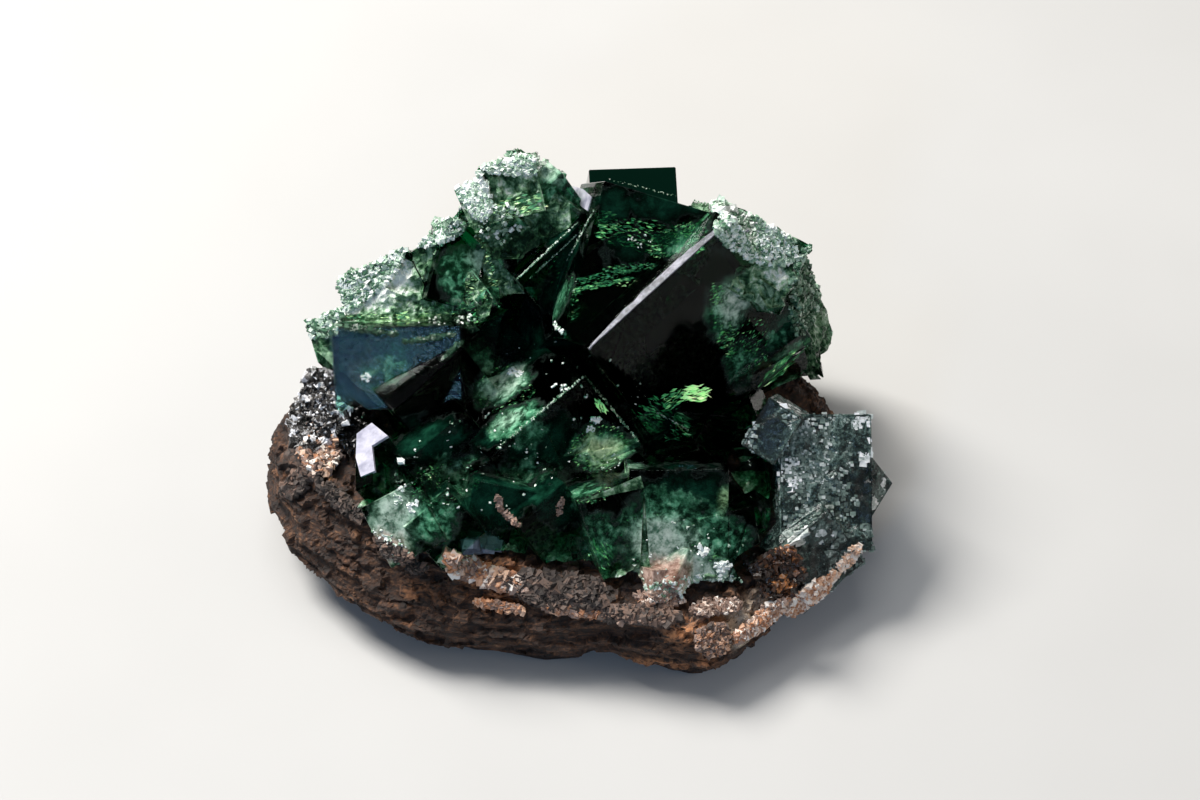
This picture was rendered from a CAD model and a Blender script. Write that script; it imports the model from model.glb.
"""The looks of a cluster of green fluorite cubes on brown layered matrix.

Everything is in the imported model's frame, in metres, with +Z up and the front
towards -Y. Lengths in this script are millimetres where a name or a comment
doesn't say otherwise, and MM turns them into metres. Photograph pixels are in
its 1200 x 800 frame. A pixel becomes a place by looking along the camera's ray
to the first crystal or rock that it meets.
"""
import math
import random
from collections import namedtuple

import bmesh
import bpy
from mathutils import Matrix, Vector, noise
from mathutils.bvhtree import BVHTree


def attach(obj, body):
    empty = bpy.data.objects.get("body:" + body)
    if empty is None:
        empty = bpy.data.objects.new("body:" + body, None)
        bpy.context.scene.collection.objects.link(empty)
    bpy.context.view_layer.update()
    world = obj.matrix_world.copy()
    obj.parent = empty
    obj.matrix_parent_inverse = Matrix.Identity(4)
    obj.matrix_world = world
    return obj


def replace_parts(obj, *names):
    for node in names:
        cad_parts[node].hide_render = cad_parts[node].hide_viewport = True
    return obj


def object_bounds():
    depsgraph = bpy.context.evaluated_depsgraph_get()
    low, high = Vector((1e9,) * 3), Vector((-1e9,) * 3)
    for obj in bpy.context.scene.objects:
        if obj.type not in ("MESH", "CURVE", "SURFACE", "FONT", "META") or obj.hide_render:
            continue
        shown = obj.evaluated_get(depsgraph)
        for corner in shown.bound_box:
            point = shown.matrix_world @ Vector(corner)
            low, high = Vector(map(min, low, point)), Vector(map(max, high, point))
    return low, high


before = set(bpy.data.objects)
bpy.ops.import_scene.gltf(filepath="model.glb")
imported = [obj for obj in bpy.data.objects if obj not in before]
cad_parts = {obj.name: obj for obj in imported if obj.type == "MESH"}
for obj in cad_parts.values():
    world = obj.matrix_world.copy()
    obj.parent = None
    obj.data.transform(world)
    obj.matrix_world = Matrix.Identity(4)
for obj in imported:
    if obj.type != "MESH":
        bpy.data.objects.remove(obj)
CAD_BOX = [list(corner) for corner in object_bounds()]

MM = 0.001
SEED = 20

# The camera looks at a point inside the specimen from the photograph's angle.
PHOTO_WIDTH = 1200
PHOTO_HEIGHT = 800
LENS = 85.0
SENSOR = 36.0
ELEVATION = 50.0
DISTANCE = 272.0
TARGET = Vector((2.2, -0.9, 18.0))


def camera_axes():
    """The directions from the target to the camera, to the right and up in the picture."""
    tip = math.radians(ELEVATION)
    back = Vector((0, -math.cos(tip), math.sin(tip)))
    return back, Vector((1, 0, 0)), Vector((0, math.sin(tip), math.cos(tip)))


BACK, RIGHT, UP = camera_axes()
EYE = TARGET + DISTANCE * BACK


def new_object(name, data):
    """An object that shows its data in the scene."""
    item = bpy.data.objects.new(name, data)
    bpy.context.scene.collection.objects.link(item)
    return item


def make_camera():
    """The camera at the photograph's viewing angle."""
    data = bpy.data.cameras.new("camera")
    data.lens = LENS
    data.sensor_width = SENSOR
    data.clip_start = 0.01
    camera = new_object("camera", data)
    camera.location = EYE * MM
    camera.rotation_euler = (math.radians(90 - ELEVATION), 0, 0)
    bpy.context.scene.camera = camera


# Places found by looking along a pixel's ray.
Hit = namedtuple("Hit", "place normal node")


def raw_mesh(name):
    """A CAD node's faces as they are, in millimetres."""
    mesh = bmesh.new()
    mesh.from_mesh(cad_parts[name].data)
    bmesh.ops.scale(mesh, vec=(1 / MM,) * 3, verts=mesh.verts)
    return mesh


def node_tree(name):
    """A search tree of a CAD node's faces, in millimetres."""
    mesh = raw_mesh(name)
    tree = BVHTree.FromBMesh(mesh)
    mesh.free()
    return tree


TREES = {name: node_tree(name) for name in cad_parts}


def look_ray(x, y):
    """The direction from the camera through a photograph pixel."""
    focal = LENS / SENSOR * PHOTO_WIDTH
    across = (x - PHOTO_WIDTH / 2) / focal
    down = (y - PHOTO_HEIGHT / 2) / focal
    return (across * RIGHT - down * UP - BACK).normalized()


def look(x, y, names=None):
    """The first hit of the ray through a photograph pixel, on the named nodes or on any."""
    ray = look_ray(x, y)
    best = None
    for name in names or TREES:
        place, normal, _, distance = TREES[name].ray_cast(EYE, ray)
        if place and (best is None or distance < best[0]):
            best = (distance, Hit(place, normal, name))
    return best and best[1]


# A cloud is full within this share of its radius.
BLOB_CORE = 0.25


# Materials are built from short calls that each make one shader node.
class Graph:
    """One material's nodes, with a Principled BSDF at the end."""

    def __init__(self, name):
        self.material = bpy.data.materials.new(name)
        self.material.use_nodes = True
        self.tree = self.material.node_tree
        self.shader = self.tree.nodes["Principled BSDF"]
        self.output = self.tree.nodes["Material Output"]
        coordinates = self.node("TexCoord").outputs["Object"]
        self.place = self.vector("SCALE", coordinates, scale=1 / MM)
        self.ragged = None

    def node(self, kind):
        return self.tree.nodes.new("ShaderNode" + kind)

    def fill(self, node, **sockets):
        """Sets or links a node's sockets; an underscore in a name stands for a space."""
        for name, value in sockets.items():
            self.put(node.inputs[name.replace("_", " ")], value)

    def put(self, socket, value):
        """Links a node's output to a socket, or sets the socket's own value."""
        if isinstance(value, bpy.types.NodeSocket):
            self.tree.links.new(value, socket)
        elif isinstance(value, (tuple, list)) and len(value) == 3 and socket.type == "RGBA":
            socket.default_value = (*value, 1.0)
        else:
            socket.default_value = value

    def vector(self, operation, first, second=None, third=None, scale=None):
        node = self.node("VectorMath")
        node.operation = operation
        self.put(node.inputs[0], first)
        for socket, value in ((1, second), (2, third), ("Scale", scale)):
            if value is not None:
                self.put(node.inputs[socket], value)
        return node.outputs["Value" if operation == "LENGTH" else "Vector"]

    def math(self, operation, first, second, clamp=False):
        node = self.node("Math")
        node.operation = operation
        node.use_clamp = clamp
        self.put(node.inputs[0], first)
        self.put(node.inputs[1], second)
        return node.outputs[0]

    def times(self, first, second, clamp=False):
        return self.math("MULTIPLY", first, second, clamp)

    def plus(self, first, second, clamp=False):
        return self.math("ADD", first, second, clamp)

    def ramp(self, value, low, high, to_low=0.0, to_high=1.0):
        """A smooth step from to_low to to_high as the value goes from low to high."""
        node = self.node("MapRange")
        node.interpolation_type = "SMOOTHSTEP"
        self.fill(node, Value=value, From_Min=low, From_Max=high, To_Min=to_low, To_Max=to_high)
        return node.outputs["Result"]

    def noise(self, size, detail=4.0, roughness=0.55, stretch=None, warp=0.0, seed=0.0):
        """Noise with features of about this size, from 0 to 1."""
        node = self.node("TexNoise")
        place = self.vector("ADD", self.place, (seed * 17.3, seed * 5.1, seed * 9.7))
        if stretch:
            place = self.vector("MULTIPLY", place, stretch)
        self.fill(node, Vector=place, Scale=1.0 / size)
        self.fill(node, Detail=detail, Roughness=roughness, Distortion=warp)
        return node.outputs["Fac"]

    def cells(self, size, seed):
        """Distances to the middles of Voronoi cells of about this size."""
        node = self.node("TexVoronoi")
        place = self.vector("ADD", self.place, (seed * 7.7, seed * 3.9, seed * 13.1))
        self.fill(node, Vector=place, Scale=1.0 / size)
        return node.outputs["Distance"]

    def mix(self, share, first, second):
        """A colour between two, by a share from 0 to 1."""
        node = self.node("Mix")
        node.data_type = "RGBA"
        self.put(node.inputs[0], share)
        self.put(node.inputs[6], first)
        self.put(node.inputs[7], second)
        return node.outputs[2]

    def colours(self, value, *stops):
        """A colour ramp over a value: stops are (position, colour)."""
        node = self.node("ValToRGB")
        elements = node.color_ramp.elements
        while len(elements) < len(stops):
            elements.new(0.5)
        for element, (position, colour) in zip(elements, stops):
            element.position = position
            element.color = (*colour, 1.0)
        self.tree.links.new(value, node.inputs["Fac"])
        return node.outputs["Color"]

    def attribute(self, name):
        node = self.node("Attribute")
        node.attribute_name = name
        return node.outputs["Fac"]

    def bump(self, height, distance):
        """A normal from a height, where distance is the height's real size in millimetres."""
        node = self.node("Bump")
        self.fill(node, Distance=distance * MM, Height=height)
        return node.outputs["Normal"]

    def blobs(self, rows, edge=0.5, node="fluorite_cluster"):
        """The sum of the soft ellipsoids that rows of clouds place on a node, with broken edges."""
        if self.ragged is None:
            self.ragged = self.math("SUBTRACT", self.noise(1.8, 5, 0.6, seed=3), 0.5)
        broken = self.times(self.ragged, 2 * edge)
        outer = self.math("SUBTRACT", 1.0, broken)
        inner = self.math("SUBTRACT", BLOB_CORE, broken)
        total = 0.0
        for centre, radii, amount in spots(rows, node):
            scale = tuple(1 / radius for radius in radii)
            shift = tuple(-place / radius for place, radius in zip(centre, radii))
            away = self.vector("LENGTH", self.vector("MULTIPLY_ADD", self.place, scale, shift))
            total = self.plus(total, self.ramp(away, outer, inner, 0.0, amount))
        return total

    def set(self, **sockets):
        """Fills the shader's sockets, and gives the material."""
        self.fill(self.shader, **sockets)
        return self.material

    def absorb(self, colour, density):
        """Fills the solid with plain absorption; density is per metre."""
        volume = self.node("VolumeAbsorption")
        self.fill(volume, Color=colour, Density=density)
        self.tree.links.new(volume.outputs["Volume"], self.output.inputs["Volume"])


# What a photograph pixel shows inside or on a crystal: where it is, how far below
# the face, its radii across, up and into the picture, and how strong it is.
GREEN_CLOUDS = [
    ((500, 392), 1.2, (4.6, 4.8, 3.4), 1.0), ((476, 362), 1.0, (3.2, 2.4, 2.6), 0.6),
    ((518, 424), 1.0, (3.6, 3.4, 3.0), 0.9), ((604, 452), 1.0, (4.4, 3.6, 2.8), 1.0),
    ((588, 494), 1.2, (2.6, 2.0, 2.0), 0.8), ((440, 478), 1.0, (6.0, 3.4, 3.0), 0.7),
    ((520, 480), 1.0, (5.0, 3.4, 3.0), 0.5), ((432, 520), 0.8, (3.4, 3.6, 2.4), 0.8),
    ((665, 520), 1.0, (6.0, 4.6, 3.0), 0.75), ((724, 545), 0.8, (3.2, 4.6, 2.6), 0.9),
    ((600, 540), 1.2, (2.6, 4.0, 2.6), 0.5), ((718, 312), 1.2, (2.6, 4.8, 2.4), 0.8),
    ((770, 345), 1.8, (3.6, 3.0, 2.6), 0.5), ((390, 375), 0.8, (4.6, 2.6, 2.2), 0.45),
    ((472, 282), 0.8, (4.2, 6.0, 3.0), 1.1), ((548, 175), 0.8, (3.4, 3.4, 3.0), 0.9),
    ((566, 196), 0.8, (2.6, 4.4, 3.0), 0.8), ((738, 360), 1.0, (2.4, 4.0, 2.6), 0.7),
    ((515, 210), 1.2, (4.2, 2.4, 3.0), 0.8), ((385, 312), 0.6, (7.0, 1.6, 2.6), 0.8),
    ((690, 240), 1.6, (5.0, 2.6, 2.6), 0.5), ((566, 300), 1.2, (2.2, 4.0, 2.2), 0.4),
    ((640, 420), 1.4, (3.0, 2.4, 2.4), 0.4),
]
PALE_CLOUDS = [
    ((500, 388), 0.6, (4.2, 4.4, 3.0), 0.9), ((516, 372), 0.6, (1.6, 1.6, 1.4), 0.8),
    ((510, 422), 0.6, (2.4, 2.2, 2.0), 0.6), ((600, 450), 0.8, (2.8, 2.0, 1.8), 0.8),
    ((632, 468), 0.8, (1.8, 1.4, 1.4), 0.5), ((396, 510), 0.5, (3.0, 4.4, 3.0), 1.1),
    ((388, 542), 0.5, (4.4, 2.8, 3.0), 1.0), ((662, 545), 0.5, (4.6, 5.0, 3.4), 1.3),
    ((690, 578), 0.5, (6.0, 3.4, 3.2), 1.3), ((736, 585), 0.4, (3.2, 4.0, 3.0), 1.2),
    ((630, 590), 0.4, (3.0, 2.6, 3.0), 0.9), ((728, 304), 0.6, (2.4, 4.0, 2.4), 1.0),
    ((750, 296), 0.6, (3.8, 2.4, 2.4), 0.8), ((448, 468), 0.8, (2.4, 1.8, 1.8), 0.4),
    ((482, 262), 0.5, (2.4, 2.8, 2.4), 0.7), ((548, 168), 0.5, (2.8, 2.8, 2.6), 0.9),
]
WARM_CLOUDS = [
    ((384, 545), 0.3, (4.0, 1.8, 3.0), 1.1), ((664, 580), 0.2, (4.6, 2.6, 3.4), 1.4),
    ((626, 600), 0.4, (3.4, 2.2, 2.6), 0.8), ((700, 608), 0.4, (6.0, 1.8, 3.0), 0.9),
]
WHITE_FROST = [
    ((466, 190), 0.0, (2.0, 4.0, 4.0), 1.0), ((486, 165), 0.0, (2.4, 2.4, 3.5), 1.0),
    ((530, 158), 0.0, (4.0, 2.2, 3.5), 1.0), ((352, 276), 0.0, (8.0, 5.0, 6.0), 1.2),
    ((380, 262), 0.0, (4.0, 3.0, 4.0), 0.8), ((420, 228), 0.0, (4.6, 2.0, 3.5), 0.8),
    ((324, 308), 0.0, (3.0, 2.4, 3.5), 0.7), ((758, 238), 0.0, (4.2, 2.6, 3.5), 1.0),
    ((782, 262), 0.0, (3.0, 3.2, 3.5), 0.7), ((722, 206), 0.0, (1.8, 1.2, 2.5), 1.0),
    ((816, 320), 0.0, (1.6, 6.5, 3.5), 0.4), ((585, 196), 0.0, (1.4, 1.6, 2.5), 1.0),
]
DEEP_GLOW = [
    ((660, 200), 0.8, (7.5, 1.8, 2.5), 0.9), ((612, 205), 0.8, (2.0, 2.6, 2.5), 0.6),
    ((680, 244), 1.2, (5.0, 2.6, 2.5), 0.9), ((620, 245), 1.2, (4.0, 2.0, 2.5), 0.5),
    ((566, 262), 0.8, (2.4, 6.0, 2.5), 0.8), ((560, 300), 0.8, (2.4, 3.0, 2.5), 0.8),
    ((788, 330), 1.2, (4.2, 4.2, 3.0), 1.0), ((770, 372), 1.0, (4.0, 2.4, 2.5), 0.7),
    ((660, 430), 1.2, (3.6, 3.4, 2.5), 0.7), ((500, 325), 1.0, (5.0, 3.0, 3.0), 0.4),
    ((545, 345), 1.0, (4.5, 2.6, 3.0), 0.5), ((530, 440), 1.0, (7.0, 4.0, 3.0), 0.8),
    ((480, 500), 1.0, (8.0, 4.0, 3.0), 0.8), ((430, 440), 1.0, (4.5, 3.0, 3.0), 0.8),
    ((560, 500), 1.0, (5.0, 4.0, 3.0), 0.6), ((395, 352), 0.6, (3.0, 2.6, 2.4), 0.9),
    ((690, 490), 1.0, (6.0, 2.6, 3.0), 0.7),
]
# The back crystal is darker than clear glass would be.
SHADE = [
    ((636, 176), 0.4, (7.0, 5.0, 6.0), 4.0),
]
YELLOW_CLOUDS = [
    ((604, 452), 0.6, (3.4, 2.6, 2.4), 1.0), ((586, 432), 0.6, (1.6, 1.4, 1.4), 0.8),
    ((512, 205), 0.6, (4.0, 2.2, 3.0), 0.9), ((400, 318), 0.4, (6.0, 1.4, 2.4), 0.8),
    ((724, 500), 0.4, (1.0, 2.6, 1.6), 0.9),
]
DARK_FROST = [
    ((770, 240), 0.0, (1.5, 1.2, 3.0), 1.2), ((792, 264), 0.0, (1.2, 1.7, 3.0), 1.2),
    ((822, 345), 0.0, (2.6, 7.0, 4.0), 0.7), ((806, 380), 0.0, (3.4, 3.0, 4.0), 0.7),
    ((515, 262), 0.0, (4.6, 4.2, 3.5), 1.0), ((545, 240), 0.0, (3.0, 3.0, 3.5), 0.8),
    ((470, 330), 0.0, (2.6, 2.2, 3.5), 0.7), ((430, 300), 0.0, (4.0, 1.4, 3.0), 0.6),
]
GLASS_INDEX = 1.434
GREEN_PASSED = (0.08, 0.62, 0.46)
GREEN_DENSITY = 1250.0
GREY_PASSED = (0.50, 0.66, 0.60)
GREY_DENSITY = 320.0
# Tints the green faces' reflections down, so that they mirror little of the pale floor.
DIM_REFLECTION = (0.08, 0.11, 0.10)
MOST_MILKY = 0.93


def spots(rows, node):
    """The centres in millimetres of rows of clouds, each below the face its pixel shows."""
    placed = []
    for (x, y), depth, (across, up, into), amount in rows:
        hit = look(x, y, [node])
        if hit:
            placed.append((hit.place - BACK * depth, (across, into, up), amount))
    return placed


def green_glass():
    """Deep green fluorite: clear where it is flat, frosted where it is broken, clouded inside."""
    graph = Graph("green_fluorite")
    broken = graph.attribute("broken")
    wide = graph.noise(3.0, 6, 0.62, seed=1)
    middle = graph.noise(1.1, 7, 0.62, warp=0.4, seed=6)
    fine = graph.noise(0.42, 5, 0.68, seed=2)
    green = graph.blobs(GREEN_CLOUDS)
    pale = graph.blobs(PALE_CLOUDS, 0.45)
    warm = graph.blobs(WARM_CLOUDS)
    white = graph.blobs(WHITE_FROST)
    deep = graph.blobs(DEEP_GLOW, 0.7)
    dark = graph.blobs(DARK_FROST)
    yellow = graph.blobs(YELLOW_CLOUDS)
    shade = graph.blobs(SHADE, 0.1)
    torn = graph.ramp(middle, 0.36, 0.62, 0.12, 1.0)
    misty = graph.times(pale, graph.ramp(middle, 0.34, 0.56, 0.45, 1.0))
    inner = graph.plus(graph.times(green, torn), misty)
    inner = graph.plus(inner, graph.times(yellow, torn))
    inner = graph.plus(inner, warm, clamp=True)
    tone = graph.plus(graph.times(middle, 0.6), graph.times(fine, 0.4))
    lift = graph.times(white, graph.ramp(wide, 0.3, 0.6, 0.08, 0.20))
    lift = graph.math("SUBTRACT", lift, graph.times(dark, 0.14))
    frost = graph.colours(
        graph.plus(tone, lift),
        (0.36, (0.006, 0.022, 0.011)), (0.45, (0.036, 0.11, 0.048)),
        (0.54, (0.24, 0.42, 0.25)), (0.66, (0.92, 0.96, 0.90)),
    )
    cloud = graph.colours(
        tone, (0.34, (0.006, 0.035, 0.018)), (0.47, (0.030, 0.16, 0.075)),
        (0.57, (0.14, 0.46, 0.26)), (0.68, (0.60, 0.90, 0.65)),
    )
    grain = graph.ramp(tone, 0.38, 0.62)
    milk = graph.mix(grain, (0.09, 0.20, 0.13), (0.60, 0.70, 0.60))
    flesh = graph.mix(grain, (0.16, 0.085, 0.06), (0.62, 0.44, 0.36))
    lime = graph.mix(grain, (0.07, 0.20, 0.05), (0.72, 0.85, 0.40))
    for share, most, tint in ((pale, 0.8, milk), (yellow, 0.5, lime), (warm, 0.9, flesh)):
        cloud = graph.mix(graph.times(share, most, clamp=True), cloud, tint)
    rough = graph.times(broken, graph.ramp(wide, 0.30, 0.55, 0.60, 0.95))
    glow = graph.times(deep, graph.ramp(wide, 0.32, 0.62, 0.35, 0.85), clamp=True)
    milky = graph.math("MAXIMUM", graph.math("MAXIMUM", inner, rough), graph.plus(glow, shade))
    deep_green = graph.mix(torn, (0.002, 0.020, 0.012), (0.010, 0.075, 0.042))
    night = (0.001, 0.010, 0.006)
    colour = (0.62, 0.95, 0.80)
    layers = ((glow, 0.06, deep_green), (inner, 0.10, cloud), (rough, 0.10, frost), (shade, 0.05, night))
    for share, edge, tint in layers:
        colour = graph.mix(graph.ramp(share, 0.0, edge), colour, tint)
    height = graph.times(graph.plus(fine, graph.cells(0.5, seed=5)), broken)
    growth = graph.noise(1.4, 3, 0.5, stretch=(0.5, 0.5, 5.0), seed=9)
    height = graph.plus(height, graph.times(growth, 0.05))
    graph.absorb(GREEN_PASSED, GREEN_DENSITY)
    closed = graph.times(milky, MOST_MILKY, clamp=True)
    return graph.set(
        Base_Color=colour,
        Roughness=graph.plus(graph.times(rough, 0.35), 0.025),
        IOR=GLASS_INDEX,
        Specular_Tint=DIM_REFLECTION,
        Transmission_Weight=graph.math("SUBTRACT", 1.0, closed),
        Normal=graph.bump(height, 0.12),
    )


GLINT_GLOW = 0.7


def glint_material():
    """Bright green cracks inside the crystals, which pass on the light that they gather."""
    graph = Graph("green_glints")
    tone = graph.attribute("tone")
    colour = graph.colours(
        tone, (0.0, (0.012, 0.06, 0.034)), (0.45, (0.10, 0.32, 0.15)),
        (0.75, (0.55, 0.85, 0.38)), (1.0, (1.0, 1.0, 0.60)),
    )
    return graph.set(
        Base_Color=colour, Emission_Color=colour, Emission_Strength=GLINT_GLOW, Roughness=0.2,
    )


# The corner crystal's paler and darker parts, in rows like those of the clouds.
PALE_CORNER = [
    ((806, 462), 0.0, (3.4, 5.4, 4.0), 1.0), ((838, 424), 0.0, (3.0, 2.0, 3.0), 0.7),
    ((800, 522), 0.0, (3.6, 2.0, 3.0), 0.8),
]
DARK_CORNER = [
    ((756, 425), 0.0, (3.4, 4.0, 4.0), 1.0), ((868, 490), 0.0, (3.4, 5.0, 4.0), 1.0),
    ((836, 560), 0.0, (6.0, 2.6, 4.0), 0.8), ((772, 500), 0.0, (1.6, 4.0, 3.0), 0.8),
]


def grey_glass():
    """The corner crystal: smoky grey-green, full of pale speckles."""
    graph = Graph("grey_crystal")
    middle = graph.noise(1.3, 7, 0.72, warp=0.3, seed=31)
    fine = graph.noise(0.34, 6, 0.75, seed=32)
    tone = graph.plus(graph.times(middle, 0.5), graph.times(fine, 0.5))
    pale = graph.blobs(PALE_CORNER, 0.5, "corner_crystal")
    dark = graph.blobs(DARK_CORNER, 0.4, "corner_crystal")
    tone = graph.plus(tone, graph.times(pale, 0.05))
    tone = graph.math("SUBTRACT", tone, graph.times(dark, 0.07))
    colour = graph.colours(
        tone, (0.40, (0.008, 0.014, 0.013)), (0.50, (0.035, 0.062, 0.056)),
        (0.58, (0.12, 0.185, 0.16)), (0.68, (0.50, 0.58, 0.55)),
    )
    graph.absorb(GREY_PASSED, GREY_DENSITY)
    height = graph.plus(fine, graph.cells(0.7, seed=33))
    return graph.set(
        Base_Color=colour, Roughness=graph.ramp(fine, 0.4, 0.7, 0.05, 0.3), IOR=GLASS_INDEX,
        Transmission_Weight=graph.ramp(tone, 0.44, 0.58, 0.6, 0.1), Normal=graph.bump(height, 0.06),
    )


# Crusts on the rock, also where a crystal stands before it, in rows like those of the clouds.
RUST_SPOTS = [
    ((488, 574), 0.0, (4.6, 2.0, 3.0), 1.0), ((500, 606), 0.0, (4.0, 1.2, 3.0), 0.8),
    ((580, 612), 0.0, (5.0, 1.2, 3.0), 1.0), ((690, 640), 0.0, (3.6, 2.0, 4.0), 1.0),
    ((720, 640), 0.0, (2.6, 4.0, 4.0), 1.0), ((660, 668), 0.0, (6.0, 0.9, 3.0), 0.8),
    ((318, 470), 0.0, (2.2, 2.0, 3.0), 0.6), ((420, 596), 0.0, (3.0, 0.9, 3.0), 0.5),
]
CREAM_SPOTS = [
    ((760, 622), 0.0, (4.4, 2.0, 4.0), 1.0), ((800, 600), 0.0, (3.4, 1.8, 4.0), 0.9),
    ((836, 572), 0.0, (2.6, 2.0, 4.0), 0.8), ((738, 640), 0.0, (1.8, 2.6, 4.0), 0.9),
    ((320, 452), 0.0, (2.2, 1.6, 3.0), 0.7), ((470, 560), 0.0, (2.4, 0.8, 2.0), 0.7),
]
GREY_SPOTS = [
    ((560, 588), 0.0, (7.5, 2.4, 3.0), 1.0), ((640, 616), 0.0, (5.0, 1.6, 3.0), 0.8),
    ((300, 440), 0.0, (3.0, 3.4, 4.0), 0.7), ((700, 622), 0.0, (4.6, 1.4, 3.0), 0.7),
]


def rock_material():
    """Brown fibrous rock with rust on its ledges, and cream and grey crusts on its rim."""
    graph = Graph("matrix_rock")
    fibre = graph.noise(0.8, 8, 0.76, stretch=(0.28, 0.28, 2.2), warp=0.7, seed=41)
    fleck = graph.noise(0.5, 5, 0.7, seed=42)
    wide = graph.noise(5.0, 4, 0.6, seed=43)
    tone = graph.plus(graph.times(fibre, 0.65), graph.times(fleck, 0.35))
    colour = graph.colours(
        tone, (0.37, (0.004, 0.0025, 0.002)), (0.46, (0.020, 0.0095, 0.0055)),
        (0.53, (0.062, 0.028, 0.015)), (0.61, (0.21, 0.10, 0.048)), (0.70, (0.50, 0.34, 0.21)),
    )
    warmth = graph.times(graph.ramp(wide, 0.52, 0.72), graph.ramp(fibre, 0.48, 0.62))
    colour = graph.mix(graph.times(warmth, 0.55), colour, (0.20, 0.075, 0.028))
    rust = graph.times(graph.blobs(RUST_SPOTS, 0.6, "matrix"), graph.ramp(tone, 0.42, 0.56))
    cream = graph.times(graph.blobs(CREAM_SPOTS, 0.6, "matrix"), graph.ramp(tone, 0.40, 0.52))
    grey = graph.times(graph.blobs(GREY_SPOTS, 0.6, "matrix"), graph.ramp(fleck, 0.36, 0.56))
    colour = graph.mix(grey, colour, (0.16, 0.135, 0.12))
    colour = graph.mix(rust, colour, graph.mix(fleck, (0.30, 0.09, 0.03), (0.62, 0.30, 0.13)))
    colour = graph.mix(cream, colour, graph.mix(fleck, (0.50, 0.36, 0.24), (0.78, 0.66, 0.52)))
    height = graph.plus(graph.times(fibre, 0.7), graph.times(fleck, 0.5))
    return graph.set(
        Base_Color=colour, Roughness=graph.ramp(fleck, 0.3, 0.7, 0.55, 0.85),
        Normal=graph.bump(height, 0.35),
    )


def chip_material(name, stops, roughness, flecks=0.35):
    """Chips whose colour goes by each chip's tone, with flecks in it."""
    graph = Graph(name)
    fleck = graph.math("SUBTRACT", graph.noise(0.35, 5, 0.7, seed=51), 0.5)
    tone = graph.plus(graph.attribute("tone"), graph.times(fleck, flecks))
    return graph.set(
        Base_Color=graph.colours(tone, *stops), Roughness=roughness,
        Normal=graph.bump(graph.noise(0.25, 4, 0.7, seed=52), 0.06),
    )


# Meshes are cleaned up, bevelled and roughened in a few shared steps.
SAME_POINT = 0.001
SPECK = 0.02
FLAT_TURN = math.radians(0.4)
PLANAR_TURN = math.radians(1.0)
SLIGHT_TURN = math.radians(2.0)
BROKEN_TURN = math.radians(38.0)
SHARP_TURN = math.radians(25.0)
WELD = 0.12
BROKEN_AREA = 5.0
EDGE_WIDTH = 0.09
CORNER_EDGE_WIDTH = 0.12
FROST_GRID = 0.42
CORNER_GRID = 0.6
SPLIT_ROUNDS = 5
LONG_EDGE = 1.4


def node_mesh(name):
    """A CAD node's faces in millimetres, with flat regions as whole polygons again."""
    mesh = raw_mesh(name)
    bmesh.ops.remove_doubles(mesh, verts=mesh.verts, dist=SAME_POINT)
    bmesh.ops.dissolve_limit(mesh, angle_limit=FLAT_TURN, verts=mesh.verts, edges=mesh.edges)
    bmesh.ops.remove_doubles(mesh, verts=mesh.verts, dist=WELD)
    bmesh.ops.dissolve_degenerate(mesh, dist=SPECK, edges=mesh.edges)
    bmesh.ops.connect_verts_nonplanar(mesh, angle_limit=PLANAR_TURN, faces=mesh.faces)
    return mesh


def mark_broken(mesh):
    """Marks the faces whose neighbours turn away a little, as on a chipped side, and not sharply."""
    layer = mesh.faces.layers.float.new("broken")
    for face in mesh.faces:
        turns = [edge.calc_face_angle(0.0) for edge in face.edges]
        lengths = [edge.calc_length() for edge in face.edges]
        sides = list(zip(turns, lengths))
        slight = sum(length for turn, length in sides if SLIGHT_TURN < turn < BROKEN_TURN)
        flat = sum(length for turn, length in sides if turn <= SLIGHT_TURN)
        mostly = slight > 0.5 * (sum(lengths) - flat)
        face[layer] = float(mostly and face.calc_area() < BROKEN_AREA)
    return layer


def bevel_edges(mesh, width, layer):
    """Bevels the sharp edges of flat faces, as fine bright lines."""
    edges = [
        edge for edge in mesh.edges
        if edge.calc_face_angle(0.0) > SHARP_TURN and edge.calc_length() > 4 * width
        and not all(face[layer] for face in edge.link_faces)
    ]
    bmesh.ops.bevel(
        mesh, geom=edges, offset=width, offset_type="OFFSET", segments=1, affect="EDGES",
        clamp_overlap=False, profile=0.5,
    )


def refine(mesh, inside, target):
    """Splits the long edges of chosen faces until they are about as long as the target."""
    for _ in range(SPLIT_ROUNDS):
        chosen = [face for face in mesh.faces if inside(face) and len(face.verts) > 3]
        bmesh.ops.triangulate(mesh, faces=chosen, quad_method="BEAUTY", ngon_method="BEAUTY")
        long = [
            edge for edge in mesh.edges
            if edge.calc_length() > LONG_EDGE * target
            and all(inside(face) for face in edge.link_faces)
        ]
        if not long:
            break
        bmesh.ops.subdivide_edges(mesh, edges=long, cuts=1)


def steps(place, size, seed):
    """A height from -0.5 to 0.5 that is flat over each small cell, as broken crystal is."""
    cell = noise.voronoi(place / size + Vector((seed, -seed, 2 * seed)))[1][0]
    return noise.cell(cell * 7.3) - 0.5


def drawn(place, grain):
    """A place with its axes drawn out or pressed together."""
    return Vector(a * b for a, b in zip(place, grain))


def break_height(place, *breaks):
    """The sum of steps of several kinds: each is (height, size, seed)."""
    return sum(height * steps(place, size, seed) for height, size, seed in breaks)


def push(mesh, shift):
    """Moves vertices along their normals, by what a function of the vertex says, or None."""
    rises = [(vertex, shift(vertex)) for vertex in mesh.verts]
    moves = [(vertex, vertex.normal * rise) for vertex, rise in rises if rise is not None]
    for vertex, move in moves:
        vertex.co += move


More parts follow.
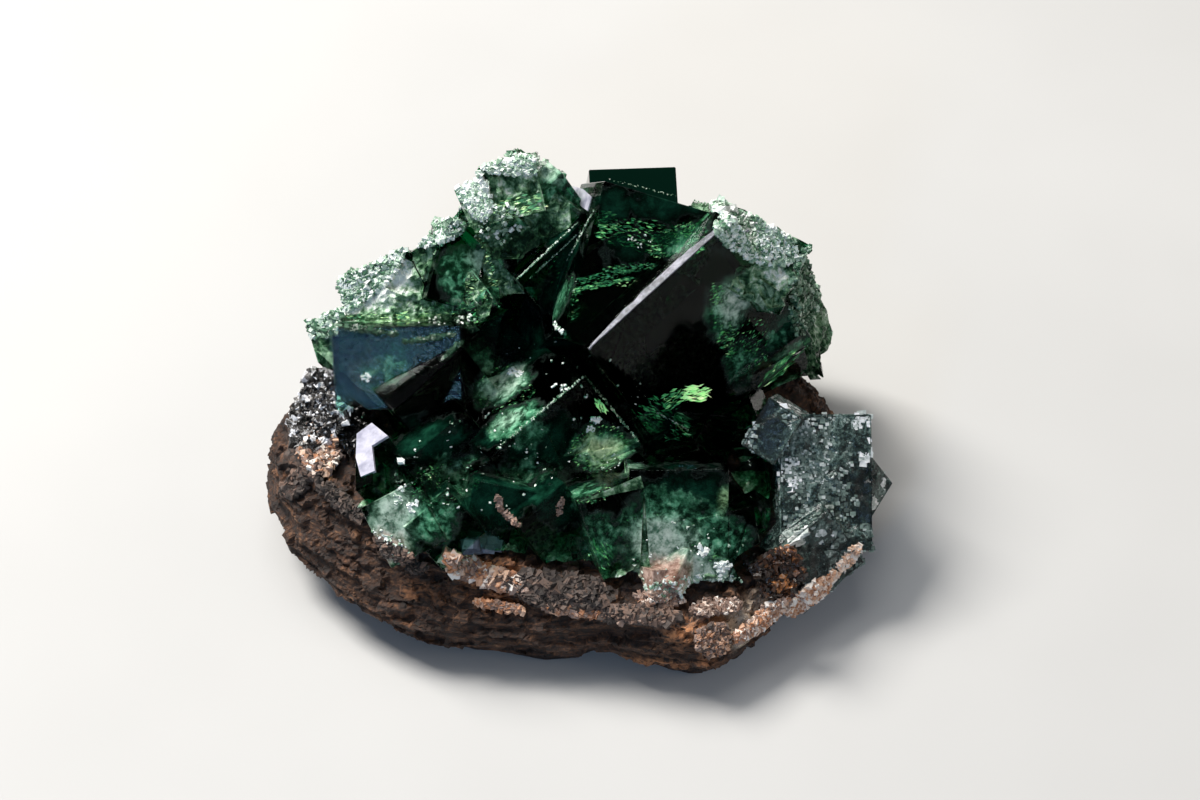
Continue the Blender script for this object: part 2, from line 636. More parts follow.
def finish_mesh(mesh, name, material):
    """An object in metres from a mesh in millimetres, riding on the specimen."""
    bmesh.ops.scale(mesh, vec=(MM,) * 3, verts=mesh.verts)
    data = bpy.data.meshes.new(name)
    mesh.to_mesh(data)
    mesh.free()
    data.materials.append(material)
    piece = new_object(name, data)
    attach(piece, "root")
    return piece


# Breaks of each piece: (height, size, seed), and how far the whole is sunk.
FROST_BREAKS = ((0.34, 1.1, 3), (0.16, 0.55, 7))
FROST_SINK = 0.14
CORNER_LEAST_AREA = 0.2
CORNER_BREAK = (1.5, 9)
CORNER_DEPTH = 0.22
CORNER_SINK = 0.02
LUMP_BREAKS = ((1.0, 0.9, 21), (0.5, 0.4, 22))
LUMP_SINK = 0.6


def green_crystals(material):
    """The cluster itself: bevelled cubes, and broken sides with a finer break."""
    mesh = node_mesh("fluorite_cluster")
    layer = mark_broken(mesh)
    bevel_edges(mesh, EDGE_WIDTH, layer)
    refine(mesh, lambda face: face[layer] > 0.5, FROST_GRID)
    mesh.normal_update()

    def shift(vertex):
        if vertex.link_faces and all(face[layer] > 0.5 for face in vertex.link_faces):
            return break_height(vertex.co, *FROST_BREAKS) - FROST_SINK

    push(mesh, shift)
    piece = finish_mesh(mesh, "crystals", material)
    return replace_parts(piece, "fluorite_cluster")


def corner_block(material):
    """The grey crystal at the corner, with stepped faces."""
    mesh = node_mesh("corner_crystal")
    layer = mark_broken(mesh)
    bevel_edges(mesh, CORNER_EDGE_WIDTH, layer)
    refine(mesh, lambda face: face.calc_area() > CORNER_LEAST_AREA, CORNER_GRID)
    mesh.normal_update()

    def shift(vertex):
        if all(edge.calc_face_angle(0.0) < SLIGHT_TURN for edge in vertex.link_edges):
            return CORNER_DEPTH * min(0.0, steps(vertex.co, *CORNER_BREAK)) - CORNER_SINK

    push(mesh, shift)
    piece = finish_mesh(mesh, "corner", material)
    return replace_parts(piece, "corner_crystal")


def remeshed(name, voxel):
    """A CAD node as an even fine grid of faces, in millimetres."""
    data = bpy.data.meshes.new("source")
    mesh = raw_mesh(name)
    mesh.to_mesh(data)
    mesh.free()
    source = new_object("source", data)
    step = source.modifiers.new("grid", "REMESH")
    step.mode = "VOXEL"
    step.voxel_size = voxel
    result = source.evaluated_get(bpy.context.evaluated_depsgraph_get())
    grid = bmesh.new()
    grid.from_mesh(result.to_mesh())
    result.to_mesh_clear()
    bpy.data.objects.remove(source)
    bpy.data.meshes.remove(data)
    grid.normal_update()
    return grid


# The rock's layers run level, so its grain is finer upwards than along.
ROCK_GRID = 0.34
FIBRE_GRAIN = (0.22, 0.22, 1.5)
SPLINTER_GRAIN = (0.4, 0.4, 1.3)
FIBRE_RISE = 0.55
SPLINTER_RISE = 0.5
CRUMB_RISE = 0.7
ROCK_SINK = 0.35
ROCK_LOWEST = -0.9
ROCK_HIGHEST = 0.1
# Below this height the foot stays flat.
FOOT_HEIGHT = 0.6


def rock(material):
    """The matrix: splintery layers round its side and crumbly rock on top."""
    mesh = remeshed("matrix", ROCK_GRID)

    def shift(vertex):
        place = vertex.co
        if place.z <= FOOT_HEIGHT:
            return None
        side = 1.0 - abs(vertex.normal.z) ** 2
        fibre = noise.fractal(drawn(place, FIBRE_GRAIN) + Vector((0, 0, 9)), 0.8, 2.2, 4)
        splinter = steps(drawn(place, SPLINTER_GRAIN), 0.9, 5)
        layers = side * (FIBRE_RISE * fibre + SPLINTER_RISE * splinter)
        crumbs = (1.0 - side) * CRUMB_RISE * steps(place, 1.0, 11)
        return max(ROCK_LOWEST, min(ROCK_HIGHEST, layers + crumbs - ROCK_SINK))

    push(mesh, shift)
    piece = finish_mesh(mesh, "rock", material)
    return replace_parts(piece, "matrix")


def lump(node, name, material, voxel, depth):
    """A small rough node with a finer break all over it."""
    mesh = remeshed(node, voxel)
    push(mesh, lambda vertex: depth * (break_height(vertex.co, *LUMP_BREAKS) - LUMP_SINK))
    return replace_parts(finish_mesh(mesh, name, material), node)


# A field scatters small things over an ellipse of the photograph: its centre, its
# two radii and its turn in degrees, all in pixels, how many things, their least and
# greatest size in millimetres, how deep they sit, and their tones from 0 to 1.
Field = namedtuple("Field", "centre radii turn count size depth tone")


def field_hits(field, source, names):
    """Random hits of a field's rays on the named nodes."""
    turn = math.radians(field.turn)
    for _ in range(field.count):
        angle = source.uniform(0, 2 * math.pi)
        reach = math.sqrt(source.random())
        along = field.radii[0] * reach * math.cos(angle)
        across = field.radii[1] * reach * math.sin(angle)
        x = field.centre[0] + along * math.cos(turn) + across * math.sin(turn)
        y = field.centre[1] - along * math.sin(turn) + across * math.cos(turn)
        hit = look(x, y)
        if hit and hit.node in names:
            yield hit


def lying(normal, source, spin, tilt):
    """A turn whose third axis is near a normal and whose first axis is near level."""
    level = RIGHT - normal * normal.dot(RIGHT)
    level.normalize()
    flat = Matrix((level, normal.cross(level), normal)).transposed()
    twist = Matrix.Rotation(source.gauss(0, spin), 3, normal)
    return Matrix.Rotation(source.gauss(0, tilt), 3, source_vector(source)) @ twist @ flat


# The farthest that a chip of size 1 reaches from its centre.
CHIP_REACH = 0.92
ORDERED_SPIN = 0.12
ORDERED_TILT = 0.08
ORDERED_RAGGED = 0.1
LOOSE_RAGGED = 0.22
CHIP_STRETCH = (1.0, 0.75, 0.55)


def add_chip(mesh, layer, place, size, tone, source, stretch, turn, ragged):
    """One angular chip: a box with its corners pushed about."""
    corners = []
    for number in range(8):
        signs = Vector(((number & 1) - 0.5, (number >> 1 & 1) - 0.5, (number >> 2 & 1) - 0.5))
        pushed = signs + source_vector(source) * ragged
        reach = Vector(a * b * size for a, b in zip(pushed, stretch))
        corners.append(mesh.verts.new(place + turn @ reach))
    for quad in ((0, 2, 3, 1), (4, 5, 7, 6), (0, 1, 5, 4), (2, 6, 7, 3), (0, 4, 6, 2), (1, 3, 7, 5)):
        face = mesh.faces.new([corners[index] for index in quad])
        face[layer] = tone


def source_vector(source):
    """A random direction."""
    vector = Vector((source.gauss(0, 1), source.gauss(0, 1), source.gauss(0, 1)))
    return vector.normalized()


def chips_piece(
    name, fields, names, material, seed, stretch=CHIP_STRETCH, ordered=False,
):
    """One piece of all the chips of some fields, each sunk a little into what carries it.

    Ordered chips lie along the face under them, as growth steps do, and others lie anyhow.
    """
    source = random.Random(seed)
    mesh = bmesh.new()
    layer = mesh.faces.layers.float.new("tone")
    for field in (Field(*row) for row in fields):
        for hit in field_hits(field, source, names):
            size = source.uniform(*field.size)
            place = hit.place - hit.normal * size * field.depth
            place.z = min(place.z, CAD_BOX[1][2] / MM - CHIP_REACH * size)
            tone = source.uniform(*field.tone)
            ragged = ORDERED_RAGGED if ordered else LOOSE_RAGGED
            if ordered:
                turn = lying(hit.normal, source, ORDERED_SPIN, ORDERED_TILT)
            else:
                turn = Matrix.Rotation(source.uniform(0, math.pi), 3, source_vector(source))
            add_chip(mesh, layer, place, size, tone, source, stretch, turn, ragged)
    return finish_mesh(mesh, name, material)


CRUMBS = [
    ((466, 566), (22, 9), -24, 220, (0.3, 1.3), 0.2, (0.35, 1.0)),
    ((500, 580), (26, 8), -16, 220, (0.3, 1.2), 0.2, (0.30, 1.0)),
    ((560, 590), (52, 17), -8, 560, (0.3, 1.1), 0.2, (0.02, 0.30)),
    ((660, 598), (26, 7), -4, 130, (0.2, 0.6), 0.2, (0.40, 0.56)),
    ((660, 598), (26, 7), -4, 60, (0.2, 0.5), 0.2, (0.8, 1.0)),
    ((716, 606), (26, 8), 4, 160, (0.2, 0.6), 0.2, (0.30, 0.56)),
    ((716, 606), (26, 8), 4, 70, (0.2, 0.5), 0.2, (0.85, 1.0)),
    ((575, 612), (34, 4), -8, 150, (0.25, 0.8), 0.25, (0.4, 0.8)),
    ((498, 606), (26, 3), -10, 110, (0.25, 0.8), 0.25, (0.4, 0.8)),
    ((640, 614), (40, 9), 0, 320, (0.3, 1.0), 0.2, (0.08, 0.45)),
    ((714, 640), (18, 16), 40, 320, (0.2, 0.7), 0.25, (0.15, 0.8)),
    ((762, 620), (34, 8), 38, 520, (0.2, 0.75), 0.2, (0.45, 1.0)),
    ((812, 594), (32, 8), 40, 380, (0.25, 0.8), 0.2, (0.6, 1.0)),
    ((848, 560), (6, 22), -38, 110, (0.2, 0.6), 0.2, (0.75, 1.0)),
    ((318, 448), (20, 26), 20, 480, (0.25, 0.9), 0.2, (0.1, 1.0)),
    ((300, 480), (24, 10), 40, 140, (0.25, 0.8), 0.2, (0.0, 0.45)),
    ((340, 500), (30, 8), -40, 160, (0.25, 0.8), 0.2, (0.0, 0.28)),
    ((400, 556), (30, 7), -32, 160, (0.25, 0.8), 0.2, (0.0, 0.36)),
    ((499, 503), (3, 9), 10, 40, (0.15, 0.5), 0.15, (0.36, 0.54)),
    ((510, 518), (12, 3), -38, 50, (0.15, 0.6), 0.15, (0.36, 0.54)),
    ((560, 506), (3, 10), -14, 36, (0.12, 0.45), 0.15, (0.36, 0.54)),
]
DRUSE_POINTS = [
    ((322, 410), (26, 44), -28, 900, (0.35, 1.1), 0.1, (0.0, 1.0)),
    ((300, 372), (14, 10), 30, 160, (0.4, 1.1), 0.1, (0.4, 1.0)),
]
FROST_CHIPS = [
    ((352, 276), (66, 28), 38, 1500, (0.2, 0.6), 0.2, (0.3, 1.0)),
    ((425, 232), (40, 14), 10, 480, (0.2, 0.6), 0.2, (0.3, 1.0)),
    ((472, 188), (14, 34), 24, 700, (0.2, 0.6), 0.2, (0.5, 1.0)),
    ((512, 164), (34, 10), 0, 420, (0.2, 0.6), 0.2, (0.4, 1.0)),
    ((756, 238), (44, 22), -24, 1000, (0.2, 0.6), 0.2, (0.3, 1.0)),
    ((806, 290), (16, 46), -8, 480, (0.2, 0.6), 0.2, (0.0, 0.7)),
    ((722, 204), (12, 8), -20, 90, (0.3, 0.8), 0.2, (0.5, 1.0)),
    ((322, 318), (22, 20), 40, 260, (0.2, 0.6), 0.2, (0.1, 0.8)),
    ((450, 320), (34, 4), 4, 34, (0.10, 0.3), 0.2, (0.3, 0.9)),
    ((372, 331), (26, 1.2), -7, 70, (0.2, 0.6), 0.25, (0.0, 0.15)),
    ((430, 338), (26, 1.2), 9, 70, (0.2, 0.6), 0.25, (0.0, 0.15)),
    ((452, 350), (14, 1.2), 40, 40, (0.2, 0.6), 0.25, (0.0, 0.15)),
]
# Chipped edges catch the light as fine broken lines.
EDGE_CHIPS = [
    ((548, 250), (42, 0.6), 43, 170, (0.08, 0.20), 0.2, (0.35, 0.9)),
    ((556, 254), (36, 0.6), 43, 110, (0.07, 0.18), 0.2, (0.3, 0.75)),
    ((539, 413), (58, 0.8), 40, 130, (0.10, 0.26), 0.3, (0.3, 0.75)),
    ((612, 409), (43, 0.8), -51, 110, (0.10, 0.26), 0.3, (0.3, 0.75)),
    ((674, 422), (19, 0.7), -29, 50, (0.10, 0.22), 0.3, (0.5, 0.8)),
    ((558, 328), (8, 2.0), -50, 26, (0.15, 0.45), 0.2, (0.6, 1.0)),
    ((580, 236), (30, 0.8), 62, 80, (0.08, 0.20), 0.2, (0.3, 0.8)),
    ((660, 192), (62, 0.8), -14, 60, (0.08, 0.22), 0.3, (0.3, 0.8)),
    ((640, 240), (14, 8), 0, 16, (0.12, 0.3), 0.3, (0.6, 1.0)),
]
STRAY_CHIPS = [
    ((560, 400), (90, 60), 0, 46, (0.12, 0.34), 0.3, (0.6, 1.0)),
    ((480, 470), (90, 50), 0, 60, (0.12, 0.34), 0.3, (0.5, 1.0)),
    ((690, 560), (60, 40), 0, 60, (0.12, 0.40), 0.3, (0.5, 1.0)),
    ((560, 388), (8, 4), 0, 8, (0.2, 0.4), 0.2, (0.9, 1.0)),
    ((516, 372), (8, 5), -20, 14, (0.2, 0.6), 0.2, (0.8, 1.0)),
    ((412, 506), (4, 8), -20, 16, (0.2, 0.6), 0.25, (0.8, 1.0)),
    ((400, 492), (6, 14), -10, 30, (0.12, 0.35), 0.2, (0.6, 1.0)),
    ((401, 461), (2, 2), 0, 5, (0.4, 0.6), 0.0, (1.0, 1.0)),
    ((596, 420), (6, 3), 20, 12, (0.2, 0.5), 0.2, (0.9, 1.0)),
    ((591, 430), (5, 4), 10, 14, (0.15, 0.4), 0.2, (0.8, 1.0)),
    ((610, 462), (14, 8), 10, 24, (0.10, 0.3), 0.2, (0.5, 0.9)),
    ((702, 550), (5, 5), 0, 12, (0.3, 0.8), 0.2, (0.9, 1.0)),
    ((722, 566), (8, 5), 0, 24, (0.3, 0.7), 0.2, (0.8, 1.0)),
    ((366, 378), (6, 4), 0, 12, (0.2, 0.5), 0.2, (0.8, 1.0)),
    ((500, 224), (22, 20), 0, 60, (0.15, 0.5), 0.2, (0.4, 1.0)),
    ((690, 588), (56, 12), 6, 260, (0.12, 0.45), 0.2, (0.4, 1.0)),
    ((386, 545), (26, 12), -30, 90, (0.12, 0.40), 0.2, (0.4, 1.0)),
]
SPECKLES = [
    ((792, 404), (12, 4), -4, 40, (0.3, 1.0), 0.35, (0.85, 1.0)),
    ((836, 404), (14, 4), -4, 40, (0.3, 0.9), 0.35, (0.75, 1.0)),
    ((862, 420), (9, 14), -4, 50, (0.2, 0.8), 0.35, (0.4, 1.0)),
    ((812, 536), (22, 7), 6, 70, (0.3, 1.0), 0.35, (0.6, 1.0)),
    ((790, 486), (4, 6), 0, 14, (0.5, 1.2), 0.3, (0.95, 1.0)),
    ((790, 470), (14, 18), 0, 70, (0.15, 0.5), 0.4, (0.5, 1.0)),
    ((818, 440), (40, 50), 0, 500, (0.15, 0.5), 0.42, (0.1, 0.8)),
    ((815, 500), (44, 34), 0, 300, (0.15, 0.5), 0.42, (0.1, 0.7)),
    ((880, 490), (4, 20), -20, 50, (0.2, 0.7), 0.3, (0.7, 1.0)),
    ((868, 452), (7, 13), -20, 30, (0.2, 0.8), 0.3, (0.5, 1.0)),
    ((850, 560), (44, 22), 46, 500, (0.2, 0.55), 0.3, (0.0, 0.7)),
    ((748, 440), (10, 20), -20, 60, (0.15, 0.4), 0.4, (0.2, 0.8)),
]
BLUE_CHIPS = [((486, 549), (22, 10), -20, 34, (0.8, 2.0), 0.3, (0.0, 0.8))]
IRON_CHIPS = [
    ((780, 572), (22, 26), 0, 260, (0.3, 1.1), 0.25, (0.0, 0.6)),
    ((782, 584), (8, 7), 0, 26, (0.4, 1.1), 0.2, (0.7, 0.9)),
    ((784, 550), (16, 5), 0, 40, (0.2, 0.6), 0.2, (0.8, 1.0)),
]
GLINTS = [
    ((650, 236), (54, 17), -6, 420, (0.12, 0.7), 0.6, (0.0, 0.8)),
    ((678, 240), (30, 14), 26, 420, (0.10, 0.5), 0.4, (0.1, 1.0)),
    ((608, 222), (9, 12), 0, 110, (0.12, 0.6), 0.4, (0.1, 0.9)),
    ((600, 285), (36, 2.5), 12, 220, (0.15, 0.6), 0.5, (0.0, 0.75)),
    ((606, 276), (34, 4), 12, 120, (0.15, 0.6), 0.5, (0.0, 0.5)),
    ((630, 268), (28, 5), 6, 160, (0.12, 0.5), 0.5, (0.0, 0.7)),
    ((626, 283), (12, 3), 10, 14, (0.15, 0.35), 0.3, (0.8, 1.0)),
    ((697, 394), (13, 8), 4, 60, (0.6, 1.4), 0.3, (0.7, 1.0)),
    ((674, 400), (12, 8), 20, 70, (0.2, 0.9), 0.5, (0.2, 0.8)),
    ((664, 420), (26, 18), -30, 160, (0.2, 1.2), 0.8, (0.0, 0.5)),
    ((786, 364), (34, 5), 44, 200, (0.3, 1.4), 0.4, (0.1, 1.0)),
    ((748, 344), (30, 22), 40, 200, (0.10, 0.5), 0.6, (0.0, 0.7)),
    ((724, 320), (10, 40), 10, 260, (0.12, 0.6), 0.5, (0.2, 0.9)),
    ((402, 315), (58, 3), 2, 200, (0.2, 0.8), 0.3, (0.0, 0.8)),
    ((474, 300), (14, 24), 10, 160, (0.12, 0.6), 0.4, (0.0, 0.8)),
    ((490, 270), (4, 40), 16, 120, (0.12, 0.5), 0.3, (0.1, 0.9)),
    ((566, 290), (12, 34), 14, 140, (0.10, 0.4), 0.5, (0.0, 0.7)),
    ((506, 390), (28, 26), 20, 420, (0.10, 0.4), 0.6, (0.1, 1.0)),
    ((600, 448), (30, 22), 20, 380, (0.10, 0.5), 0.5, (0.3, 1.0)),
    ((590, 492), (22, 12), 0, 160, (0.10, 0.4), 0.5, (0.2, 1.0)),
    ((440, 490), (44, 24), 20, 260, (0.10, 0.4), 0.6, (0.0, 0.8)),
    ((432, 478), (10, 12), 0, 60, (0.15, 0.5), 0.4, (0.4, 1.0)),
    ((712, 568), (20, 14), 10, 120, (0.15, 0.6), 0.4, (0.4, 1.0)),
    ((660, 540), (50, 30), 0, 260, (0.10, 0.4), 0.5, (0.0, 0.7)),
    ((598, 556), (14, 16), -60, 110, (0.2, 0.8), 0.4, (0.1, 0.8)),
    ((520, 205), (30, 10), 10, 160, (0.2, 0.8), 0.4, (0.1, 0.9)),
    ((602, 408), (10, 3), -50, 26, (0.3, 0.9), 0.3, (0.5, 1.0)),
]
GLINT_SPREAD = 0.5
# Shares: of the field's depth, of the splinter's length, and of its width at each side.
GLINT_DEPTHS = (0.25, 1.5)
GLINT_WIDTHS = (0.08, 0.6)
GLINT_SIDES = (0.2, 1)
# Splinters are mostly dim: a share is raised to this power for their tones.
DIMMING = 1.7


def glints(material):
    """Flat splinters inside the green crystals, lying roughly along their field."""
    source = random.Random(SEED)
    mesh = bmesh.new()
    layer = mesh.faces.layers.float.new("tone")
    for field in (Field(*row) for row in GLINTS):
        turn = math.radians(field.turn)
        along = math.cos(turn) * RIGHT + math.sin(turn) * UP
        for hit in field_hits(field, source, ["fluorite_cluster"]):
            size = source.uniform(*field.size)
            place = hit.place - hit.normal * source.uniform(*GLINT_DEPTHS) * field.depth
            lean = Matrix.Rotation(source.gauss(0, GLINT_SPREAD), 3, along)
            swing = Matrix.Rotation(source.gauss(0, GLINT_SPREAD / 2), 3, BACK)
            across = swing @ lean @ along.cross(BACK)
            length = swing @ along
            width = size * source.uniform(*GLINT_WIDTHS)
            corners = [
                place - length * size / 2,
                place + across * width * source.uniform(*GLINT_SIDES) / 2,
                place + length * size / 2,
                place - across * width * source.uniform(*GLINT_SIDES) / 2,
            ]
            face = mesh.faces.new([mesh.verts.new(corner) for corner in corners])
            low, high = field.tone
            face[layer] = low + (high - low) * source.random() ** DIMMING
    return finish_mesh(mesh, "inner_glints", material)


# The ledge between the dark cube and the tall one is etched pale. It is widest
# in the middle and runs out at its lower end.
LEDGE_ENDS = ((588, 350), (733, 217))
LEDGE_POINTS = 40
LEDGE_WIDTH = 1.05
LEDGE_THICKNESS = 0.12
LEDGE_LEAST = 0.03
LEDGE_RAGGED = 0.35
LEDGE_LIP = 0.3
# How far in from its end pixels the face is looked at, in pixels.
LEDGE_INSET = 3.0
# A probe stands PROBE before the face, and finds it within a reach and a height.
PROBE = 0.5
REACH = 0.7
HEIGHT = 3.0
HALVINGS = 18


def ledge(material):
    """A pale rind along the top edge of the dark cube, with a ragged inner side."""
    cube = ["fluorite_cluster"]
    start, end = (look(x + LEDGE_INSET, y + LEDGE_INSET, cube) for x, y in LEDGE_ENDS)
    run = end.place - start.place
    run -= start.normal * run.dot(start.normal)
    upward = run.cross(start.normal).normalized()
    upward = upward if upward.z > 0 else -upward
    mesh = bmesh.new()
    rows = []
    for number in range(LEDGE_POINTS + 1):
        share = number / LEDGE_POINTS
        swell = math.sin(math.pi * share ** 0.8) ** 0.7 * (0.55 + 0.6 * share)
        ragged = 1 + LEDGE_RAGGED * noise.noise(Vector((share * 14, 0, 3)))
        width = LEDGE_WIDTH * swell * ragged + LEDGE_LEAST
        probe = start.place + run * share + start.normal * PROBE
        rise = edge_height(probe, start.normal, upward)
        edge = start.place + run * share + upward * rise + start.normal * 0.02
        inner = edge - start.normal * width + upward * LEDGE_THICKNESS
        outer = edge + upward * LEDGE_THICKNESS
        lip = inner - upward * LEDGE_LIP
        rows.append([mesh.verts.new(place) for place in (edge, outer, inner, lip)])
    for lower, upper in zip(rows, rows[1:]):
        wall(mesh, lower, upper)
    for row in (rows[0], rows[-1]):
        mesh.faces.new(row)
    bmesh.ops.recalc_face_normals(mesh, faces=mesh.faces)
    return finish_mesh(mesh, "etched_ledge", material)


def wall(mesh, lower, upper):
    """Faces between two rings of corners."""
    ring = list(zip(lower, upper))
    for (low, high), (next_low, next_high) in zip(ring, ring[1:] + ring[:1]):
        mesh.faces.new((low, next_low, next_high, high))


def edge_height(probe, normal, upward):
    """How far a flat face goes on upwards from beside a point just in front of it."""
    low, high = 0.0, HEIGHT
    for _ in range(HALVINGS):
        middle = (low + high) / 2
        place, _, _, distance = TREES["fluorite_cluster"].ray_cast(probe + upward * middle, -normal)
        if place and distance < REACH:
            low = middle
        else:
            high = middle
    return low


# Facets that shine white: each one's outline in the photograph, and a pixel on its plane.
WHITE_FACETS = [
    (
        ((357, 434), (372, 423), (388, 436), (372, 446), (375, 471), (361, 477), (356, 458)),
        (364, 452),
    ),
    (((573, 186), (583, 189), (592, 197), (588, 211), (581, 206)), (582, 200)),
]
FACET_THICKNESS = 0.3
FACET_RISE = 0.06


def facets(material):
    """Thin pale plates, sunk into the facets that the outlines' pixels show."""
    mesh = bmesh.new()
    for outline, middle in WHITE_FACETS:
        centre = look(*middle, ["fluorite_cluster"])
        top = []
        for x, y in outline:
            ray = look_ray(x, y)
            reach = (centre.place - EYE).dot(centre.normal) / ray.dot(centre.normal)
            top.append(EYE + ray * reach + centre.normal * FACET_RISE)
        upper = [mesh.verts.new(place) for place in top]
        lower = [mesh.verts.new(place - centre.normal * FACET_THICKNESS) for place in top]
        mesh.faces.new(upper)
        mesh.faces.new(lower[::-1])
        wall(mesh, upper, lower)
    bmesh.ops.recalc_face_normals(mesh, faces=mesh.faces)
    return finish_mesh(mesh, "white_facets", material)


def facet_material():
    """Smooth fluorite that shines pale, with faint clouds."""
    graph = Graph("white_facet")
    tone = graph.noise(1.4, 5, 0.6, seed=75)
    colour = graph.colours(tone, (0.35, (0.30, 0.30, 0.38)), (0.65, (0.60, 0.59, 0.68)))
    return graph.set(Base_Color=colour, Roughness=0.15)


def ledge_material():
    """Etched fluorite: pale and cool, with fine dents and darker streaks."""
    graph = Graph("etched_ledge")
    fine = graph.noise(0.35, 5, 0.7, seed=71)
    wide = graph.noise(2.2, 3, 0.6, seed=72)
    tone = graph.plus(graph.times(fine, 0.5), graph.times(wide, 0.5))
    colour = graph.colours(
        tone, (0.40, (0.035, 0.045, 0.05)), (0.5, (0.13, 0.135, 0.16)), (0.62, (0.36, 0.36, 0.42)),
    )
    return graph.set(Base_Color=colour, Roughness=0.3, Normal=graph.bump(fine, 0.08))


ROCK_TONES = (
    (0.0, (0.012, 0.008, 0.006)), (0.2, (0.085, 0.065, 0.055)), (0.38, (0.20, 0.12, 0.085)),
    (0.5, (0.34, 0.25, 0.21)), (0.64, (0.42, 0.17, 0.07)), (0.8, (0.70, 0.46, 0.32)),
    (1.0, (0.85, 0.81, 0.75)),
)
DRUSE_TONES = (
    (0.0, (0.004, 0.004, 0.004)), (0.5, (0.012, 0.011, 0.010)), (0.72, (0.10, 0.09, 0.08)),
    (0.85, (0.55, 0.55, 0.56)), (1.0, (0.90, 0.90, 0.92)),
)
FROST_TONES = (
    (0.0, (0.012, 0.045, 0.022)), (0.4, (0.08, 0.20, 0.11)), (0.62, (0.40, 0.56, 0.42)),
    (0.9, (0.92, 0.96, 0.92)),
)
SPECKLE_TONES = (
    (0.0, (0.02, 0.03, 0.028)), (0.5, (0.16, 0.22, 0.19)), (0.8, (0.60, 0.64, 0.62)),
    (1.0, (0.92, 0.92, 0.93)),
)
BLUE_TONES = ((0.0, (0.03, 0.035, 0.05)), (1.0, (0.26, 0.28, 0.34)))
IRON_TONES = (
    (0.0, (0.006, 0.004, 0.003)), (0.4, (0.034, 0.016, 0.010)), (0.62, (0.11, 0.040, 0.016)),
    (0.85, (0.55, 0.20, 0.05)), (1.0, (0.50, 0.42, 0.36)),
)


def plain_floor():
    """A wide pale floor that isn't part of the object."""
    mesh = bmesh.new()
    bmesh.ops.create_grid(mesh, x_segments=1, y_segments=1, size=1.5)
    data = bpy.data.meshes.new("floor")
    mesh.to_mesh(data)
    mesh.free()
    graph = Graph("pale_floor")
    tone = graph.ramp(graph.noise(60, 3), 0.3, 0.7)
    colour = graph.mix(tone, (0.50, 0.495, 0.48), (0.53, 0.525, 0.51))
    data.materials.append(graph.set(Base_Color=colour, Roughness=0.7))
    floor = new_object("floor", data)


def area_light(name, direction, distance, size, power, colour, aim=TARGET):
    """A soft rectangular light that faces a point; distance and size are in metres."""
    data = bpy.data.lights.new(name, "AREA")
    data.shape = "RECTANGLE"
    data.size, data.size_y = size
    data.energy = power
    data.color = colour
    light = new_object(name, data)
    away = Vector(direction).normalized()
    light.location = aim * MM + away * distance
    light.rotation_euler = away.to_track_quat("Z", "Y").to_euler()


def mirrored(hit):
    """The direction that a flat face reflects into the camera."""
    view = (EYE - hit.place).normalized()
    return 2 * hit.normal.dot(view) * hit.normal - view


SHOULDER_PIXEL = (395, 350)
ROOM_COLOUR = (0.55, 0.58, 0.62, 1.0)
ROOM_STRENGTH = 0.28


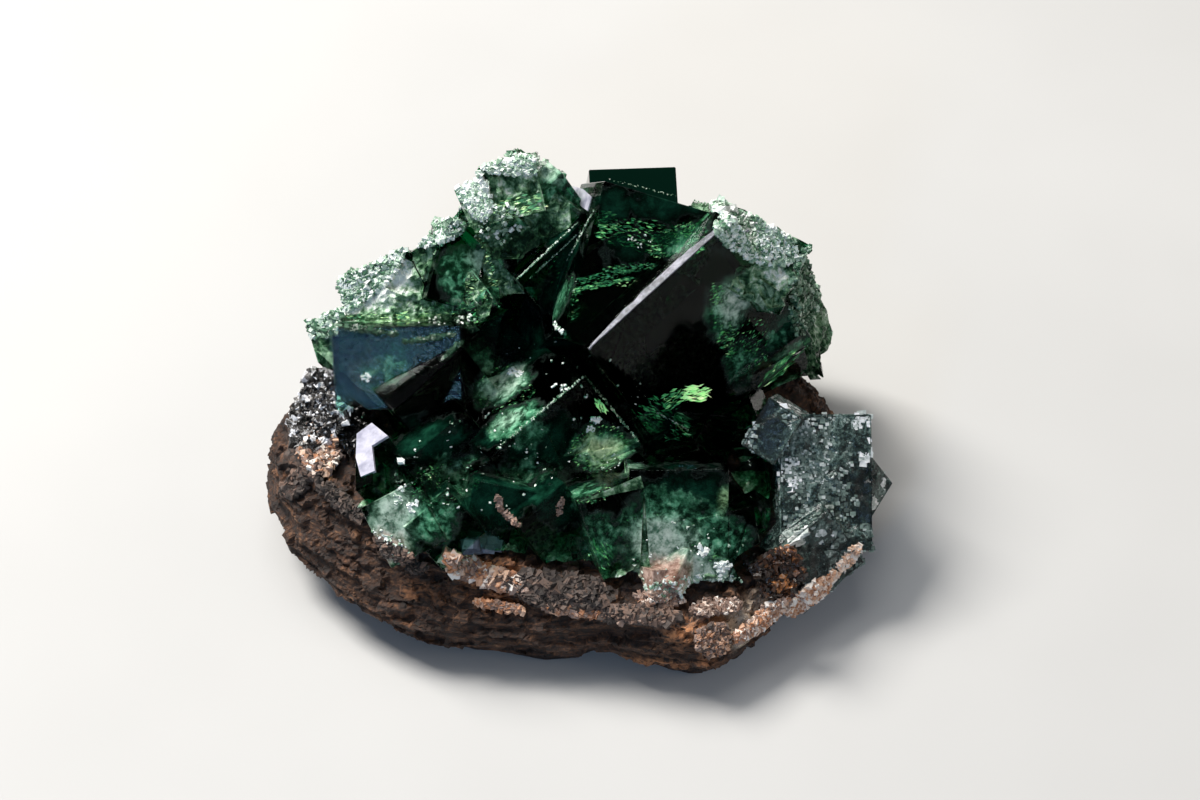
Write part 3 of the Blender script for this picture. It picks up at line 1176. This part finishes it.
def studio():
    """Soft light from behind to the left, weak fills, and a blue light that the shoulder mirrors."""
    area_light("key", (-0.50, 0.40, 0.75), 0.60, (0.24, 0.24), 6.0, (1.0, 0.97, 0.93))
    area_light("top", (-0.10, 0.35, 1.0), 0.80, (0.50, 0.50), 1.8, (1.0, 1.0, 1.0))
    area_light("side", (0.85, -0.20, 0.49), 0.70, (0.30, 0.30), 0.6, (1.0, 0.93, 0.86))
    shoulder = look(*SHOULDER_PIXEL, ["fluorite_cluster"])
    away = mirrored(shoulder)
    area_light("sky", away, 0.60, (0.10, 0.09), 0.60, (0.35, 0.6, 1.0), shoulder.place)
    world = bpy.data.worlds.new("room")
    world.use_nodes = True
    background = world.node_tree.nodes["Background"]
    background.inputs["Color"].default_value = ROOM_COLOUR
    background.inputs["Strength"].default_value = ROOM_STRENGTH
    bpy.context.scene.world = world


def render_look():
    """How light bounces and how the picture is shown."""
    scene = bpy.context.scene
    scene.view_settings.view_transform = "Standard"
    scene.cycles.max_bounces = 9
    scene.cycles.transmission_bounces = 8
    scene.cycles.diffuse_bounces = 3
    scene.cycles.glossy_bounces = 4
    scene.cycles.sample_clamp_indirect = 6.0
    scene.cycles.blur_glossy = 0.5


make_camera()
render_look()
studio()
plain_floor()
green_crystals(green_glass())
corner_block(grey_glass())
rock(rock_material())
iron = chip_material("ironstone", IRON_TONES, 0.25, 1.1)
lump("ironstone_block", "ironstone", iron, 0.22, 0.4)
crust = chip_material("druse", DRUSE_TONES, 0.12, 1.0)
lump("quartz_druse", "druse_crust", crust, 0.25, 0.5)
glints(glint_material())
ledge(ledge_material())
facets(facet_material())
chips_piece("druse_points", DRUSE_POINTS, ["quartz_druse", "matrix"], crust, 61)
crumbs = chip_material("crumbs", ROCK_TONES, 0.75)
chips_piece("rim_crumbs", CRUMBS, list(TREES), crumbs, 62)
chips_piece("ironstone_chips", IRON_CHIPS, ["ironstone_block"], iron, 66)
green = ["fluorite_cluster"]
frosty = chip_material("frost", FROST_TONES, 0.25, 0.6)
chips_piece("frost_chips", FROST_CHIPS, green, frosty, 63, (1.0, 0.9, 0.7))
chips_piece("edge_chips", EDGE_CHIPS, green, frosty, 67, (1.0, 0.7, 0.5))
chips_piece("stray_chips", STRAY_CHIPS, green, frosty, 68)
speckle = chip_material("speckles", SPECKLE_TONES, 0.12, 0.5)
grey = ["corner_crystal"]
chips_piece("corner_speckles", SPECKLES, grey, speckle, 64, (1.0, 0.9, 0.4), True)
blue = chip_material("blue_chips", BLUE_TONES, 0.2, 0.5)
chips_piece("blue_grey_flakes", BLUE_CHIPS, green, blue, 65, (1.0, 0.8, 0.2), True)
